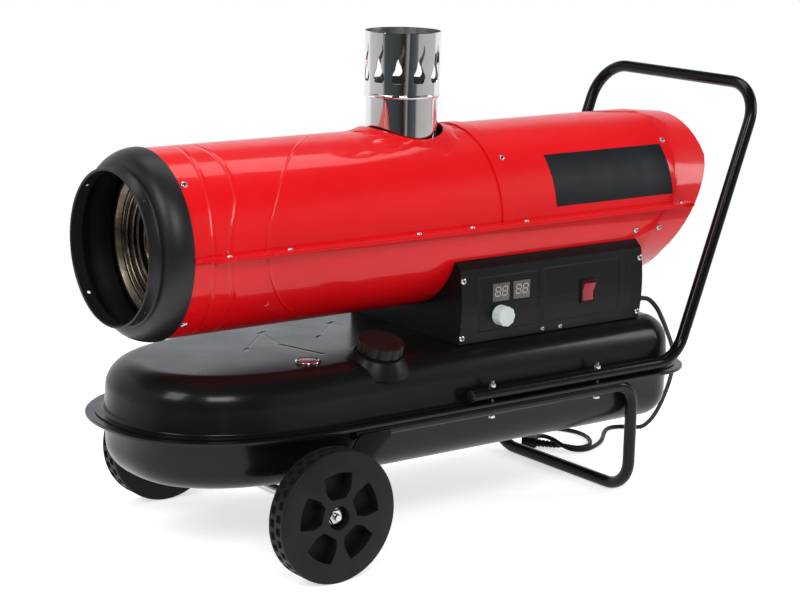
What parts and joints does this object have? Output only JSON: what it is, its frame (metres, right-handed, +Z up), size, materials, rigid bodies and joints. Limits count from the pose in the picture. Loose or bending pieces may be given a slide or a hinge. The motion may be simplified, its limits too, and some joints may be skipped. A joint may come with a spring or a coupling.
{
  "type": "forced air heater",
  "caption": "Portable oil-fired air heater: a round duct with a flue over a flanged fuel tank, with a control cabinet, push handle, rear leg, axle and wheels, and a mains lead.",
  "frame": {"origin": "on the floor under the middle of the heater's box, measured without its mains lead", "axes": "+X from the hot air outlet to the push handle, +Z up, and the controls and the filler on the -Y side"},
  "size_m": [1.1779, 0.522, 0.772],
  "materials": {
    "red_paint": "gloss",
    "black_paint": "satin",
    "cone_paint": "matt",
    "stainless": "polished",
    "heated_steel": "heat tinted",
    "zinc": "zinc plated",
    "brass": "satin",
    "black_plastic": "satin",
    "display_face": "smoked",
    "board_green": "satin",
    "knob_grey": "satin",
    "rocker_red": "gloss",
    "cord_rubber": "matt"
  },
  "bodies": {
    "heater": {"tank_lower_shell": "black_paint", "tank_upper_shell": "black_paint", "filler_neck": "black_paint", "fuel_gauge": "stainless", "drain_plug": "zinc", "fuel_pickup": "brass", "cabinet": "black_paint", "control_panel": "black_paint", "display_left": "display_face", "display_right": "display_face", "control_board": "board_green", "thermostat_pot": "zinc", "switch_bezel": "black_plastic", "fuel_pump": "zinc", "fuel_line": "brass", "ignition_transformer": "black_plastic", "duct_lower_shell": "red_paint", "duct_upper_front": "red_paint", "duct_upper_rear": "red_paint", "outlet_cone": "cone_paint", "outlet_spigot": "cone_paint", "heat_exchanger": "heated_steel", "exchanger_inner_wall": "heated_steel", "exchanger_front_plate": "heated_steel", "exchanger_rear_plate": "heated_steel", "combustion_chamber": "heated_steel", "chamber_front": "heated_steel", "transfer_duct": "heated_steel", "exchanger_cradle_front": "heated_steel", "exchanger_cradle_rear": "heated_steel", "burner_head": "zinc", "nozzle_assembly": "brass", "fan_motor": "black_paint", "motor_bracket": "zinc", "rear_guard": "black_paint", "flue_pipe": "stainless", "flue_cowl": "stainless", "handle": "black_paint", "leg_frame": "black_paint", "handle_plug_left": "black_plastic", "handle_plug_right": "black_plastic", "axle_bracket_left": "black_paint", "axle_bracket_right": "black_paint", "frame_bolt_left_1": "zinc", "frame_bolt_left_2": "zinc", "frame_bolt_right_1": "zinc", "frame_bolt_right_2": "zinc", "axle": "zinc", "axle_nut_right": "zinc", "axle_nut_left": "zinc", "cord_gland": "black_plastic", "power_cord": "cord_rubber", "mains_plug": "black_plastic"},
    "fan": {"fan": "zinc"},
    "wheel_left": {"wheel_left": "black_plastic"},
    "wheel_right": {"wheel_right": "black_plastic"},
    "knob": {"thermostat_knob": "knob_grey"},
    "rocker": {"power_rocker": "rocker_red"},
    "cap": {"fuel_cap": "black_plastic"}
  },
  "joints": [
    {"name": "wheel_left_spin", "type": "hinge", "parent": "heater", "child": "wheel_left", "pos_m": [-0.331, -0.242, 0.1], "axis": [0, 1, 0], "continuous": true},
    {"name": "wheel_right_spin", "type": "hinge", "parent": "heater", "child": "wheel_right", "pos_m": [-0.331, 0.242, 0.1], "axis": [0, 1, 0], "continuous": true},
    {"name": "fan_spin", "type": "hinge", "parent": "heater", "child": "fan", "pos_m": [0.306, 0, 0.478], "axis": [1, 0, 0], "continuous": true},
    {"name": "thermostat_turn", "type": "hinge", "parent": "heater", "child": "knob", "pos_m": [0.05, -0.152, 0.3365], "axis": [0, 1, 0], "range_deg": [-135, 135]},
    {"name": "power_switch_tip", "type": "hinge", "parent": "heater", "child": "rocker", "pos_m": [0.234, -0.148, 0.354], "axis": [1, 0, 0], "range_deg": [-16, 0]},
    {"name": "fuel_cap_turn", "type": "hinge", "parent": "heater", "child": "cap", "pos_m": [-0.176, -0.14276, 0.31361], "axis": [0, -0.2756, 0.9613], "range_deg": [0, 120]}
  ]
}
